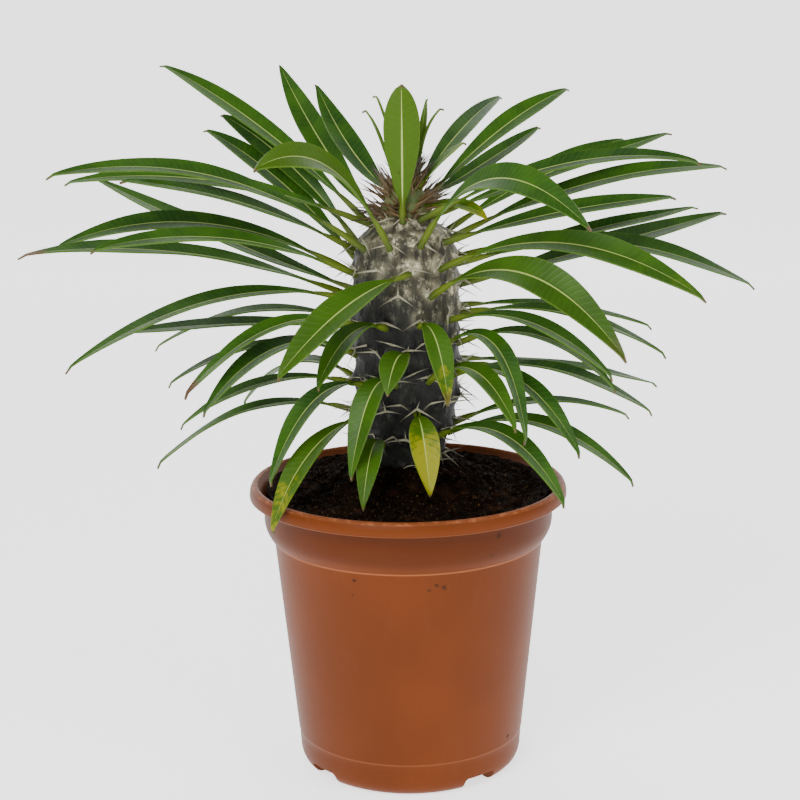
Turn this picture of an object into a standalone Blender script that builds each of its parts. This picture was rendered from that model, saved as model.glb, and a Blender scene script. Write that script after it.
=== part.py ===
"""A madagascar palm in its plastic nursery pot, at real size, in metres with +Z up.

The pot stands on the ground with its axis on the Z axis, and the photograph's side is -Y.
Azimuths are in degrees, seen from above: 0 faces -Y, 90 faces +X and -90 faces -X.
"""

import math
import random

import bmesh
import bpy
from mathutils import Vector
from mathutils.bvhtree import BVHTree

MM = 0.001
GAP = 0.4 * MM

POT_SEGMENTS = 40
LIP_RADIUS = 85 * MM
LIP_TOP = 157 * MM
COLLAR_RADIUS = 77.4 * MM
COLLAR_TOP = 147.6 * MM
COLLAR_FOOT = 127 * MM
BODY_TOP_RADIUS = 72.2 * MM
BODY_FOOT_RADIUS = 60.5 * MM
BODY_FOOT = 8 * MM
FOOT_RING_OUTER = 53.5 * MM
FOOT_RING_INNER = 50.6 * MM
WALL = 1.4 * MM
RECESS_HEIGHT = 7.4 * MM
FLOOR_TOP = 9 * MM
NOTCH_AZIMUTHS = (-52, 38, 128, 218)
NOTCH_SIZE = (20 * MM, 24 * MM, 14 * MM)
DRAIN_RING = 34 * MM
DRAIN_RADIUS = 5 * MM

SOIL_SEGMENTS = 24
SOIL_RIM_HEIGHT = 154 * MM
SOIL_MOUND_HEIGHT = 168 * MM
SOIL_ROUGHNESS = 1.1 * MM

# Height and radius of the stem without its tubercles, from its buried foot up to the tip.
STEM_PROFILE = (
    (121 * MM, 9 * MM),
    (150 * MM, 13 * MM),
    (166 * MM, 15.5 * MM),
    (175 * MM, 19 * MM),
    (190 * MM, 24 * MM),
    (205 * MM, 27 * MM),
    (260 * MM, 27.5 * MM),
    (278 * MM, 26.5 * MM),
    (286 * MM, 24.2 * MM),
    (290 * MM, 21 * MM),
    (294 * MM, 16.5 * MM),
    (299 * MM, 14 * MM),
    (304 * MM, 12.5 * MM),
    (310 * MM, 10 * MM),
    (316 * MM, 6 * MM),
    (319 * MM, 2 * MM),
)
STEM_SIDES = 32
STEM_ROW = 4.2 * MM
STEM_TOP = 299 * MM
BUD_SIDES = 10

# Tubercles wind up the stem on one spiral, a little over ten and a half to a turn.
TUBERCLES = 98
TUBERCLE_TURN = 33.85
FRONT_TUBERCLE = 75
FRONT_AZIMUTH = 4
TUBERCLE_START = 166.4 * MM
TUBERCLE_RISE = 1.672 * MM
TUBERCLE_CROWDING = 0.003 * MM
TUBERCLE_BULGE = 2.2 * MM
TUBERCLE_WIDTH = 4.8 * MM
TUBERCLE_HEIGHT = 4.4 * MM
LEAF_BELOW_TUBERCLE = 3 * MM
SEAT_STEP = 0.3 * MM
BUD_SEAT_RADIUS = 7 * MM
BUD_SEAT_LOWEST = 303 * MM

SPINE_RADIUS = 0.75 * MM
SPINE_SIDES = 3
SPINE_SINK = 1.5 * MM
# Each tubercle has two long spines, one to each side: swing, lift, length.
SPINE_SET = ((-56, -6, 15 * MM), (56, -6, 15 * MM))
SPINE_TURNS = (0, 14, -14, 28, -28)

LEAF_STATIONS = (0, 0.06, 0.14, 0.26, 0.42, 0.58, 0.74, 0.88, 1)
PETIOLE_END = 0.1
PETIOLE_HALF_WIDTH = 1.5 * MM
PETIOLE_HALF_HEIGHT = 1.4 * MM
BLADE_HALF_THICKNESS = 0.8 * MM
EDGE_HALF_THICKNESS = 0.36 * MM
TIP_HALF_WIDTH = 0.7 * MM
LEAF_FOLD = 15
LEAF_TILT_LOW = 13
LEAF_TILT_HIGH = 27
TILT_CHANGES = (56, 72)
# Leaves turned about their length otherwise than by that tilt, by their tubercle, in degrees.
LEAF_TURNS = {82: 38, 92: 36, 85: 45, 86: -45, 65: -40, 76: -34}
# How far out a blade is widest and how full it is; the upright leaf in front is blunt.
BLADE_FORM = (1.12, 0.85)
BLUNT_FORM = (1.35, 0.6)
BLUNT_LEAF = 96

# One row for each leaf: the tubercle it grows at, its heading, how far out and up of its
# base its middle lies, how far out and up its tip lies, and its full width, in degrees and mm.
LEAVES = (
    (93, -113, 62, 49, 123, 83, 15),
    (82, -122, 45, 42, 91, 68, 14),
    (71, -110, 48, 46, 93, 74, 16),
    (85, -50, 40, 45, 83, 46, 18),
    (92, -146, 56, 38, 103, 82, 15),
    (84, -80, 77, 40, 159, 42, 15),
    (94, -97, 84, 23, 164, 22, 14),
    (83, -66, 60, 27, 123, 42, 13),
    (60, -112, 86, 26, 174, 60, 18),
    (61, -71, 88, 28, 175, 32, 18),
    (72, -84, 78, 28, 154, 17, 16),
    (73, -62, 72, 24, 142, 23, 14),
    (62, -80, 72, 3, 150, -31, 16),
    (50, -112, 64, 3, 128, -22, 12),
    (51, -98, 62, 0, 127, -6, 14),
    (52, -72, 46, 4, 95, -29, 14),
    (40, -105, 54, 1, 108, -23, 12),
    (41, -68, 43, 8, 85, -24, 16),
    (30, -85, 46, 2, 93, -21, 12),
    (29, -130, 45, 4, 89, -26, 13),
    (19, -98, 56, 1, 113, -33, 11),
    (75, -52, 42, -13, 83, -43, 20),
    (53, -50, 24, 0, 46, -25, 15),
    (31, -60, 32, -4, 59, -45, 15),
    (20, -44, 40, -13, 68, -49, 15),
    (43, -20, 17, 1, 31, -14, 15),
    (32, -35, 22, 0, 41, -41, 15),
    (10, -11, 29, 5, 53, -20, 13),
    (22, 12, 15, -8, 31, -36, 16),
    (54, 28, 17, -4, 30, -36, 14),
    (44, 56, 33, 7, 53, -43, 15),
    (33, 42, 34, 11, 64, -15, 14),
    (96, 0, 5, 38, 5, 70, 19),
    (89, 112, 57, 28, 108, 45, 14),
    (98, 98, 66, 22, 128, 41, 13),
    (97, 82, 74, 29, 142, 30, 14),
    (88, 95, 74, 27, 145, 34, 15),
    (87, 88, 58, 15, 118, 23, 14),
    (77, 100, 66, 14, 130, 26, 11),
    (67, 114, 82, 14, 166, 29, 17),
    (86, 42, 52, 38, 115, 19, 17),
    (76, 68, 68, 16, 138, -9, 17),
    (78, 99, 83, 5, 166, -22, 17),
    (65, 52, 58, 17, 116, -20, 20),
    (57, 105, 56, -3, 114, -18, 10),
    (56, 92, 55, -1, 110, -25, 13),
    (55, 66, 45, 2, 90, -24, 14),
    (45, 72, 44, 6, 85, -21, 13),
    (36, 112, 64, -9, 129, -26, 10),
    (35, 95, 54, -4, 105, -29, 13),
    (34, 62, 38, 1, 73, -36, 14),
    (13, 80, 50, 6, 99, -25, 14),
    (12, 60, 42, 8, 78, -26, 15),
    (14, 105, 50, 9, 103, -3, 10),
    (59, 176, 44, 8, 80, -10, 15),
    (38, -168, 42, 4, 76, -22, 14),
)

# The same for the youngest leaves, which are one piece with the bud.
CROWN_LEAVES = (
    (102, -146, 45, 22, 83, 58, 15),
    (101, 150, 55, 32, 108, 50, 13),
    (99, 120, 50, 37, 95, 58, 14),
    (100, 132, 50, 18, 94, 36, 12),
    (109, 70, 12, 13, 25, 24, 10),
    (98, 70, 22, 2, 38, -5, 9),
    (106, -60, 11, 30, 19, 44, 3),
    (107, -62, 10, 32, 17, 50, 5),
    (110, 60, 4, 24, 14, 40, 3),
    (108, 150, 8, 26, 14, 46, 4),
)


def clear_scene():
    for thing in list(bpy.data.objects):
        bpy.data.objects.remove(thing, do_unlink=True)


def make_collection(name):
    collection = bpy.data.collections.new(name)
    bpy.context.scene.collection.children.link(collection)
    return collection


def make_material(name, colour, roughness, metallic=0.0):
    material = bpy.data.materials.new(name)
    material.use_nodes = True
    shader = material.node_tree.nodes["Principled BSDF"]
    shader.inputs["Base Color"].default_value = (*colour, 1)
    shader.inputs["Roughness"].default_value = roughness
    shader.inputs["Metallic"].default_value = metallic
    return material


def object_from_bmesh(name, mesh_maker, collection, material=None, smooth_angle=50):
    mesh = bpy.data.meshes.new(name)
    mesh_maker.to_mesh(mesh)
    mesh_maker.free()
    mesh.shade_smooth()
    mesh.set_sharp_from_angle(angle=math.radians(smooth_angle))
    if material:
        mesh.materials.append(material)
    made = bpy.data.objects.new(name, mesh)
    collection.objects.link(made)
    return made


def apply_modifiers(thing):
    """Replaces the object's mesh by what its modifiers make of it."""
    bpy.context.view_layer.update()
    graph = bpy.context.evaluated_depsgraph_get()
    shaped = bpy.data.meshes.new_from_object(thing.evaluated_get(graph))
    thing.modifiers.clear()
    thing.data = shaped


def outward(azimuth):
    angle = math.radians(azimuth)
    return Vector((math.sin(angle), -math.cos(angle), 0))


def smooth_step(value, start, end):
    share = min(max((value - start) / (end - start), 0), 1)
    return share * share * (3 - 2 * share)


def between(table, value):
    """Reads a table of pairs, with straight lines between its rows."""
    if value <= table[0][0]:
        return table[0][1]
    for (low, first), (high, last) in zip(table, table[1:]):
        if value <= high:
            return first + (last - first) * (value - low) / (high - low)
    return table[-1][1]


def loft(maker, rings, closed_bottom=True, closed_top=True):
    """Skins rings of equally many points. Every quad is split along the same diagonal."""
    count = len(rings[0])
    rows = [[maker.verts.new(point) for point in ring] for ring in rings]
    for lower, upper in zip(rows, rows[1:]):
        for i in range(count):
            j = (i + 1) % count
            maker.faces.new((lower[i], lower[j], upper[j]))
            maker.faces.new((lower[i], upper[j], upper[i]))
    if closed_bottom:
        maker.faces.new(rows[0][::-1])
    if closed_top:
        maker.faces.new(rows[-1])
    return rows


def pot_profile():
    """The wall's outline as (radius, height): up the inside, over the lip and down the outside."""
    step = 3.4 * MM
    inner_foot = BODY_FOOT_RADIUS - WALL
    inner_top = BODY_TOP_RADIUS - WALL
    return (
        (0, FLOOR_TOP),
        (inner_foot, FLOOR_TOP),
        (inner_top, COLLAR_FOOT),
        (COLLAR_RADIUS - WALL - 0.8 * MM, COLLAR_FOOT + step),
        (COLLAR_RADIUS - WALL, COLLAR_FOOT + 3 * step),
        (COLLAR_RADIUS - WALL, COLLAR_TOP + 1.4 * MM),
        (80.2 * MM, LIP_TOP - 1.4 * MM),
        (81.4 * MM, LIP_TOP),
        (83.4 * MM, LIP_TOP - 0.7 * MM),
        (84.7 * MM, LIP_TOP - 2.8 * MM),
        (LIP_RADIUS, LIP_TOP - 6 * MM),
        (84.3 * MM, LIP_TOP - 7.4 * MM),
        (79 * MM, COLLAR_TOP + 1.6 * MM),
        (COLLAR_RADIUS, COLLAR_TOP),
        (COLLAR_RADIUS, COLLAR_FOOT + 3 * step),
        (76.5 * MM, COLLAR_FOOT + 1.7 * step),
        (74.9 * MM, COLLAR_FOOT + 0.7 * step),
        (72.9 * MM, COLLAR_FOOT),
        (BODY_TOP_RADIUS, COLLAR_FOOT - 1 * MM),
        (BODY_FOOT_RADIUS, BODY_FOOT),
        (59.2 * MM, 3.8 * MM),
        (56.6 * MM, 1.1 * MM),
        (FOOT_RING_OUTER, 0),
        (FOOT_RING_INNER, 0),
        (FOOT_RING_INNER, RECESS_HEIGHT),
        (0, RECESS_HEIGHT),
    )


def make_pot(parts, cutters):
    maker = bmesh.new()
    points = [maker.verts.new((radius, 0, height)) for radius, height in pot_profile()]
    for first, last in zip(points, points[1:]):
        maker.edges.new((first, last))
    material = make_material("terracotta_plastic", (0.32, 0.09, 0.032), 0.42)
    pot = object_from_bmesh("pot", maker, parts, material, smooth_angle=35)
    turn = pot.modifiers.new("turn", "SCREW")
    turn.steps = turn.render_steps = POT_SEGMENTS
    turn.use_merge_vertices = True
    turn.merge_threshold = 0.01 * MM
    for azimuth in NOTCH_AZIMUTHS:
        add_cutter_box(cutters, azimuth)
    for turned in range(4):
        add_cutter_drain(cutters, NOTCH_AZIMUTHS[0] + 45 + 90 * turned)
    cut = pot.modifiers.new("notches_and_drains", "BOOLEAN")
    cut.operand_type = "COLLECTION"
    cut.collection = cutters
    cut.operation = "DIFFERENCE"
    return pot


def hide_as_cutter(thing):
    thing.hide_render = True
    thing.display_type = "WIRE"


def add_cutter_box(cutters, azimuth):
    maker = bmesh.new()
    bmesh.ops.create_cube(maker, size=1)
    bmesh.ops.scale(maker, vec=NOTCH_SIZE, verts=maker.verts)
    box = object_from_bmesh("notch_cutter", maker, cutters)
    box.location = outward(azimuth) * (FOOT_RING_OUTER + 2 * MM)
    box.rotation_euler.z = math.radians(azimuth)
    hide_as_cutter(box)


def add_cutter_drain(cutters, azimuth):
    maker = bmesh.new()
    bmesh.ops.create_cone(
        maker, cap_ends=True, segments=10, radius1=DRAIN_RADIUS, radius2=DRAIN_RADIUS, depth=8 * MM
    )
    drain = object_from_bmesh("drain_cutter", maker, cutters)
    drain.location = outward(azimuth) * DRAIN_RING + Vector((0, 0, FLOOR_TOP))
    hide_as_cutter(drain)


def soil_surface(radius, azimuth):
    """The mound round the stem, with low lumps made of a few waves."""
    mound = 1 - smooth_step(radius, 14 * MM, 62 * MM)
    level = SOIL_RIM_HEIGHT + (SOIL_MOUND_HEIGHT - SOIL_RIM_HEIGHT) * mound
    x = radius * math.sin(math.radians(azimuth)) / MM
    y = radius * math.cos(math.radians(azimuth)) / MM
    lumps = math.sin(0.31 * x + 0.4) * math.sin(0.27 * y + 1.1) + 0.6 * math.sin(0.55 * x - 0.47 * y)
    fade = smooth_step(radius, 17 * MM, 26 * MM) * (1 - smooth_step(radius, 66 * MM, 74 * MM))
    return level + SOIL_ROUGHNESS * lumps * fade


def make_soil(parts):
    step = 3.4 * MM
    outside = (
        (BODY_FOOT_RADIUS - WALL - 0.8 * MM, FLOOR_TOP + GAP),
        (BODY_TOP_RADIUS - WALL - GAP - 0.4 * MM, COLLAR_FOOT),
        (COLLAR_RADIUS - WALL - GAP - 1.4 * MM, COLLAR_FOOT + step + 0.4 * MM),
        (COLLAR_RADIUS - WALL - GAP - 0.2 * MM, COLLAR_FOOT + 3 * step),
        (COLLAR_RADIUS - WALL - GAP - 0.2 * MM, SOIL_RIM_HEIGHT - 2.4 * MM),
    )
    top_radii = (76 * MM, 70 * MM, 62 * MM, 53 * MM, 44 * MM, 35 * MM, 27 * MM, 21 * MM)
    hole_heights = (166 * MM, 158 * MM, 150 * MM, 136 * MM, 121 * MM - GAP)
    azimuths = [360 * i / SOIL_SEGMENTS for i in range(SOIL_SEGMENTS)]
    rings = [[outward(a) * r + Vector((0, 0, z)) for a in azimuths] for r, z in outside]
    for r in top_radii:
        rings.append([outward(a) * r + Vector((0, 0, soil_surface(r, a))) for a in azimuths])
    for z in hole_heights:
        reach = between(STEM_PROFILE, z) + 2 * GAP
        rings.append([outward(a) * reach + Vector((0, 0, z)) for a in azimuths])
    maker = bmesh.new()
    loft(maker, rings)
    bmesh.ops.recalc_face_normals(maker, faces=maker.faces)
    material = make_material("potting_soil", (0.018, 0.011, 0.007), 0.95)
    return object_from_bmesh("soil", maker, parts, material)


def tubercle_place(number):
    """Azimuth and height of a tubercle."""
    height = TUBERCLE_START + TUBERCLE_RISE * number - TUBERCLE_CROWDING * number * number
    azimuth = FRONT_AZIMUTH + TUBERCLE_TURN * (number - FRONT_TUBERCLE)
    return (azimuth + 180) % 360 - 180, height


def stem_surface(azimuth, height):
    """Radius of the stem with its tubercles, which fade out where the soil covers it."""
    radius = between(STEM_PROFILE, height)
    bulge = 0
    for number in range(TUBERCLES):
        place, level = tubercle_place(number)
        up = (height - level) / TUBERCLE_HEIGHT
        if abs(up) > 2.2:
            continue
        aside = (azimuth - place + 180) % 360 - 180
        across = math.radians(aside) * radius / TUBERCLE_WIDTH
        bulge += math.exp(-up * up - across * across)
    fade = smooth_step(height, 166 * MM, 176 * MM) * (1 - smooth_step(height, 293 * MM, STEM_TOP))
    return radius + TUBERCLE_BULGE * bulge * fade


def stem_rows():
    """Heights of the stem's rings: few below the soil, and even rows above it."""
    rows = [121 * MM, 150 * MM, 166 * MM]
    count = round((STEM_TOP - rows[-1]) / STEM_ROW)
    start = rows[-1]
    return rows + [start + (STEM_TOP - start) * (i + 1) / count for i in range(count)]


def leaf_seat(number, clearance):
    """Where a leaf's stalk starts under its tubercle, this far clear of the stem."""
    azimuth, height = tubercle_place(number)
    height -= LEAF_BELOW_TUBERCLE
    return outward(azimuth) * (stem_surface(azimuth, height) + clearance) + Vector((0, 0, height))


def leaf_turn(number, heading):
    """How far a leaf is turned about its length: the higher ones lean more towards the front."""
    tilt = LEAF_TILT_LOW + (LEAF_TILT_HIGH - LEAF_TILT_LOW) * smooth_step(number, *TILT_CHANGES)
    return math.radians(LEAF_TURNS.get(number, -tilt * math.sin(math.radians(heading))))


def leaf_frames(start, number, heading, middle_out, middle_up, tip_out, tip_up):
    """The midrib's points, and the side and upper directions there, from the stalk to the tip."""
    reach = outward(heading)
    rise = Vector((0, 0, 1))
    tip = start + (reach * tip_out + rise * tip_up) * MM
    middle = start + (reach * middle_out + rise * middle_up) * MM
    bend = 2 * middle - 0.5 * (start + tip)
    across = reach.cross(rise)
    turn = leaf_turn(number, heading)
    frames = []
    for u in LEAF_STATIONS:
        point = start * (1 - u) ** 2 + bend * 2 * u * (1 - u) + tip * u**2
        along = ((bend - start) * (1 - u) + (tip - bend) * u).normalized()
        turned = turn * smooth_step(u, 0, 0.3)
        upper = across.cross(along)
        side = across * math.cos(turned) + upper * math.sin(turned)
        frames.append((u, point, side, side.cross(along)))
    return frames


def blade_half_width(u, width, number):
    """Narrow stalk, then a long blade that is widest a little past its middle."""
    if u <= PETIOLE_END:
        return PETIOLE_HALF_WIDTH
    share = (u - PETIOLE_END) / (1 - PETIOLE_END)
    lean, fullness = BLUNT_FORM if number == BLUNT_LEAF else BLADE_FORM
    full = 0.5 * width * math.sin(math.pi * share**lean) ** fullness if share < 1 else 0
    return max(full, TIP_HALF_WIDTH, PETIOLE_HALF_WIDTH * (1 - 3 * share))


def leaf_rings(start, row):
    """Six-sided sections: a rounded stalk that flattens into a shallow V with a thicker midrib."""
    width = row[-1] * MM
    rings = []
    for u, point, side, upper in leaf_frames(start, *row[:-1]):
        half = blade_half_width(u, width, row[0])
        flat = smooth_step(u, PETIOLE_END * 0.5, 0.2)
        fold = math.radians(LEAF_FOLD) * flat
        middle = PETIOLE_HALF_HEIGHT + (BLADE_HALF_THICKNESS * (1.3 - 0.8 * u) - PETIOLE_HALF_HEIGHT) * flat
        edge = 0.5 * PETIOLE_HALF_HEIGHT + (EDGE_HALF_THICKNESS - 0.5 * PETIOLE_HALF_HEIGHT) * flat
        out = side * half * math.cos(fold)
        lift = upper * half * math.sin(fold)
        left, right = point - out + lift, point + out + lift
        rings.append(
            (
                left + upper * edge,
                left - upper * edge,
                point - upper * middle,
                right - upper * edge,
                right + upper * edge,
                point + upper * middle,
            )
        )
    return rings


def skin_leaf(maker, rings):
    """Closes the sections. Upper and lower faces are split alike, so that they can't cross."""
    rows = [[maker.verts.new(point) for point in ring] for ring in rings]
    splits = ((0, 1, True), (1, 2, True), (2, 3, False), (3, 4, True), (4, 5, False), (5, 0, True))
    for lower, upper in zip(rows, rows[1:]):
        for i, j, forward in splits:
            if forward:
                maker.faces.new((lower[i], lower[j], upper[j]))
                maker.faces.new((lower[i], upper[j], upper[i]))
            else:
                maker.faces.new((lower[i], lower[j], upper[i]))
                maker.faces.new((lower[j], upper[j], upper[i]))
    for row in (rows[0][::-1], rows[-1]):
        maker.faces.new((row[0], row[1], row[2], row[5]))
        maker.faces.new((row[5], row[2], row[3], row[4]))


def make_leaf(name, start, row, parts, material):
    maker = bmesh.new()
    skin_leaf(maker, leaf_rings(start, row))
    bmesh.ops.recalc_face_normals(maker, faces=maker.faces)
    return object_from_bmesh(name, maker, parts, material)


def make_stem_leaf(name, row, parts, material, stem_tree):
    """Moves a leaf's seat outward in small steps until its stalk clears the tubercles."""
    clearance = 0
    while True:
        leaf = make_leaf(name, leaf_seat(row[0], clearance), row, parts, material)
        if not crosses(leaf, [stem_tree]):
            break
        bpy.data.objects.remove(leaf, do_unlink=True)
        clearance += SEAT_STEP
    bpy.data.objects.remove(leaf, do_unlink=True)
    return make_leaf(name, leaf_seat(row[0], clearance + GAP), row, parts, material)


def bud_seat(number):
    """Where a young leaf starts, inside the bud."""
    azimuth, height = tubercle_place(number)
    return outward(azimuth) * BUD_SEAT_RADIUS + Vector((0, 0, max(height, BUD_SEAT_LOWEST)))


def make_spine(name, root, direction, length, helpers):
    """A thin cone with its root sunk into what it grows from."""
    maker = bmesh.new()
    bmesh.ops.create_cone(
        maker,
        cap_ends=True,
        segments=SPINE_SIDES,
        radius1=SPINE_RADIUS,
        radius2=0.12 * MM,
        depth=length + SPINE_SINK,
    )
    turn = Vector((0, 0, 1)).rotation_difference(direction).to_matrix()
    centre = root + direction * (0.5 * (length - SPINE_SINK))
    for vertex in maker.verts:
        vertex.co = turn @ vertex.co + centre
    return object_from_bmesh(name, maker, helpers)


def spine_direction(azimuth, swing, lift):
    flat = outward(azimuth + swing)
    angle = math.radians(lift)
    return flat * math.cos(angle) + Vector((0, 0, math.sin(angle)))


def tree_of(thing):
    mesh = thing.data
    return BVHTree.FromPolygons([v.co for v in mesh.vertices], [p.vertices[:] for p in mesh.polygons])


def crosses(thing, trees):
    own = tree_of(thing)
    return any(own.overlap(tree) for tree in trees)


def add_spines(helpers, trees, draw):
    """Places each tubercle's spines. One that would meet a leaf is turned aside, or left out."""
    for number in range(TUBERCLES):
        azimuth, height = tubercle_place(number)
        if height < 170 * MM:
            continue
        root = outward(azimuth) * stem_surface(azimuth, height) + Vector((0, 0, height))
        for swing, lift, length in SPINE_SET:
            lift += draw.uniform(-14, 14)
            swing += draw.uniform(-8, 8)
            length *= draw.uniform(0.85, 1.1)
            for turn in SPINE_TURNS:
                direction = spine_direction(azimuth, swing * (1 - abs(turn) / 90), lift + turn)
                spine = make_spine("spine", root, direction, length, helpers)
                if not crosses(spine, trees):
                    break
                bpy.data.objects.remove(spine, do_unlink=True)


def fuse(body, helpers):
    """Joins everything in the helper collection to the body, and removes the helpers."""
    join = body.modifiers.new("fuse", "BOOLEAN")
    join.operand_type = "COLLECTION"
    join.collection = helpers
    join.operation = "UNION"
    join.solver = "MANIFOLD"
    apply_modifiers(body)
    for thing in list(helpers.objects):
        bpy.data.objects.remove(thing, do_unlink=True)


def make_trunk(parts):
    azimuths = [360 * i / STEM_SIDES for i in range(STEM_SIDES)]
    rings = [
        [outward(a) * stem_surface(a, z) + Vector((0, 0, z)) for a in azimuths] for z in stem_rows()
    ]
    maker = bmesh.new()
    loft(maker, rings)
    bmesh.ops.recalc_face_normals(maker, faces=maker.faces)
    material = make_material("grey_bark", (0.13, 0.125, 0.1), 0.8)
    return object_from_bmesh("trunk", maker, parts, material)


def make_crown(parts, helpers, leaf_material, draw):
    """The growing tip above the grey stem, with its youngest leaves and the spines between them."""
    foot = STEM_TOP + GAP
    heights = [foot, 304 * MM, 308 * MM, 312 * MM, 316 * MM, 319 * MM]
    azimuths = [360 * i / BUD_SIDES for i in range(BUD_SIDES)]
    rings = [
        [outward(a) * between(STEM_PROFILE, z) + Vector((0, 0, z)) for a in azimuths] for z in heights
    ]
    maker = bmesh.new()
    loft(maker, rings)
    bmesh.ops.recalc_face_normals(maker, faces=maker.faces)
    crown = object_from_bmesh("crown", maker, parts, leaf_material)
    for row in CROWN_LEAVES:
        make_leaf("young_leaf", bud_seat(row[0]), row, helpers, leaf_material)
    for number in range(TUBERCLES + 2, TUBERCLES + 14):
        azimuth, height = tubercle_place(number)
        height = max(height, BUD_SEAT_LOWEST)
        root = outward(azimuth) * between(STEM_PROFILE, height) + Vector((0, 0, height))
        for swing, lift in ((-40, 45), (40, 45)):
            direction = spine_direction(azimuth, swing, lift + draw.uniform(-10, 10))
            make_spine("crown_spine", root, direction, 13 * MM * draw.uniform(0.8, 1.1), helpers)
    fuse(crown, helpers)
    return crown


def main():
    clear_scene()
    parts = make_collection("madagascar_palm")
    cutters = make_collection("cutters")
    helpers = make_collection("helpers")
    draw = random.Random(7)
    make_pot(parts, cutters)
    make_soil(parts)
    leaf_material = make_material("leaf_green", (0.07, 0.17, 0.03), 0.4)
    trunk = make_trunk(parts)
    stem_tree = tree_of(trunk)
    leaves = [
        make_stem_leaf(f"leaf_{i + 1:02d}", row, parts, leaf_material, stem_tree)
        for i, row in enumerate(LEAVES)
    ]
    crown = make_crown(parts, helpers, leaf_material, draw)
    add_spines(helpers, [tree_of(thing) for thing in leaves + [crown]], draw)
    fuse(trunk, helpers)
    bpy.data.collections.remove(helpers)


main()
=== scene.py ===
"""Looks of a young madagascar palm in its plastic nursery pot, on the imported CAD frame.

Every piece keeps the place and form of the CAD nodes that it stands for, in metres with +Z up.
Azimuths are in degrees, seen from above: 0 faces -Y, 90 faces +X and -90 faces -X.
"""

import math
import random

import bmesh
import bpy
from mathutils import Matrix, Vector, noise


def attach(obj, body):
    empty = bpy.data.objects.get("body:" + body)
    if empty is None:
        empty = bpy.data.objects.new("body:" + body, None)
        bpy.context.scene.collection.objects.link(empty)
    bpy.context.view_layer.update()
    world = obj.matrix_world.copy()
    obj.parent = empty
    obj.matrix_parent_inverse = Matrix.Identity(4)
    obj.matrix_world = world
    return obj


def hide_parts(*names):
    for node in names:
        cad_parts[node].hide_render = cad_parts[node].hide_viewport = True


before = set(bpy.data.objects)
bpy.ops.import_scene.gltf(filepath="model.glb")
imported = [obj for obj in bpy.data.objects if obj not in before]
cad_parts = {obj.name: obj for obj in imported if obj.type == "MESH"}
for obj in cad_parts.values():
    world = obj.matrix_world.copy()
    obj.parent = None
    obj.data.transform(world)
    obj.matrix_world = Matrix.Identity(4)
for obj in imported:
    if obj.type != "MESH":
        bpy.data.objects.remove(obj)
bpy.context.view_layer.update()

bl_info = {
    "name": "Potted madagascar palm",
    "version": (1, 0, 0),
    "blender": (4, 5, 0),
    "location": "3D View > Sidebar > Palm",
    "description": "Builds a young madagascar palm in a plastic pot, with its materials and stage",
    "category": "Add Mesh",
}

MM = 0.001
SEED = 7
LIP_RADIUS = 85 * MM

# The pot's outline as (radius, height) in mm: the floor, up the inside, over the lip, down the
# outside and under the foot.
POT_PROFILE = (
    (0, 9),
    (59.1, 9),
    (70.8, 127),
    (75.2, 130.4),
    (76.0, 137.2),
    (76.0, 149.0),
    (80.0, 155.4),
    (80.6, 156.6),
    (81.6, 157.0),
    (82.8, 156.7),
    (83.9, 155.6),
    (84.7, 153.8),
    (85.0, 151.4),
    (84.9, 150.1),
    (84.3, 149.6),
    (79.0, 149.2),
    (77.8, 148.7),
    (77.4, 147.6),
    (77.4, 137.2),
    (77.1, 135.0),
    (76.5, 132.8),
    (75.5, 130.6),
    (74.5, 128.9),
    (73.6, 127.5),
    (72.9, 127.0),
    (72.35, 126.7),
    (72.2, 126.0),
    (61.5, 19.4),
    (61.45, 18.9),
    (61.15, 18.4),
    (60.5, 8),
    (60.0, 5.6),
    (59.0, 3.4),
    (57.2, 1.5),
    (55.2, 0.4),
    (53.5, 0),
    (50.8, 0),
    (50.6, 0.3),
    (50.6, 7.4),
    (0, 7.4),
)
POT_AROUND = 192
PROFILE_STEP = 3.0
# Heights of the thin pale lines round the pot: painted highlights along its creases and edges, partly
# worn plastic.
FOOT_LINE = 18.7 * MM
COLLAR_STEP = 126.6 * MM
LIP_FOLD = 149.7 * MM
RIM_TOP = 156.5 * MM
# The wall that the soil marks lie on, in mm: it widens from its foot up to the collar.
WALL_FOOT = (61, 19)
WALL_SLOPE = 0.1
COLLAR_RADIUS = 77.4
NOTCH_AZIMUTHS = (-52, 38, 128, 218)
NOTCH_RADIUS = 55.5 * MM
NOTCH_SIZE = (20 * MM, 24 * MM, 14 * MM)
NOTCH_BEVEL = 2.2 * MM
DRAIN_RING = 34 * MM
DRAIN_RADIUS = 5 * MM
DRAIN_TURN = 45
POT_FLOOR = 9 * MM
# Soil marks on the pot: azimuth in degrees, height and size in mm, and strength.
POT_MARKS = (
    (14, 119, 2.4, 0.85),
    (11, 120.5, 1.8, 0.75),
    (8, 118, 1.4, 0.7),
    (33, 134, 2, 0.8),
    (36, 144, 2.3, 0.7),
    (31, 129, 1.8, 0.8),
    (-23, 122, 1.8, 0.9),
    (-24, 114, 1.5, 0.85),
    (57, 23, 2.2, 0.9),
)

SOIL_AROUND = 168
# The soil's surface runs in rings from its edge to the stem, at these radii in mm.
SOIL_RINGS = 54
SOIL_EDGE = 76
SOIL_MIDDLE = 18
SOIL_RIM_HEIGHT = 154 * MM
SOIL_MOUND_HEIGHT = 168 * MM
SOIL_ROUGHNESS = 1.1 * MM
# The soil's side against the pot and its hollow for the stem's foot, as (radius, height) in mm.
SOIL_SIDE = ((57.9, 9.4), (70, 127), (74, 131), (75.2, 137), (75.2, 151.6))
SOIL_HOLLOW = ((16.6, 166), (15.4, 158), (14, 150), (12, 136), (10, 121), (0, 120.6))
LITTER_COUNT = 1500
# The ring that the litter lies on: its inner radius and its width, in mm.
LITTER_RING = (20, 54)
CRUMB_SIZES = (0.35 * MM, 1.3 * MM)
FIBRE_SIZES = (3 * MM, 9 * MM)
FIBRE_LIFT = 0.25 * MM

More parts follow.
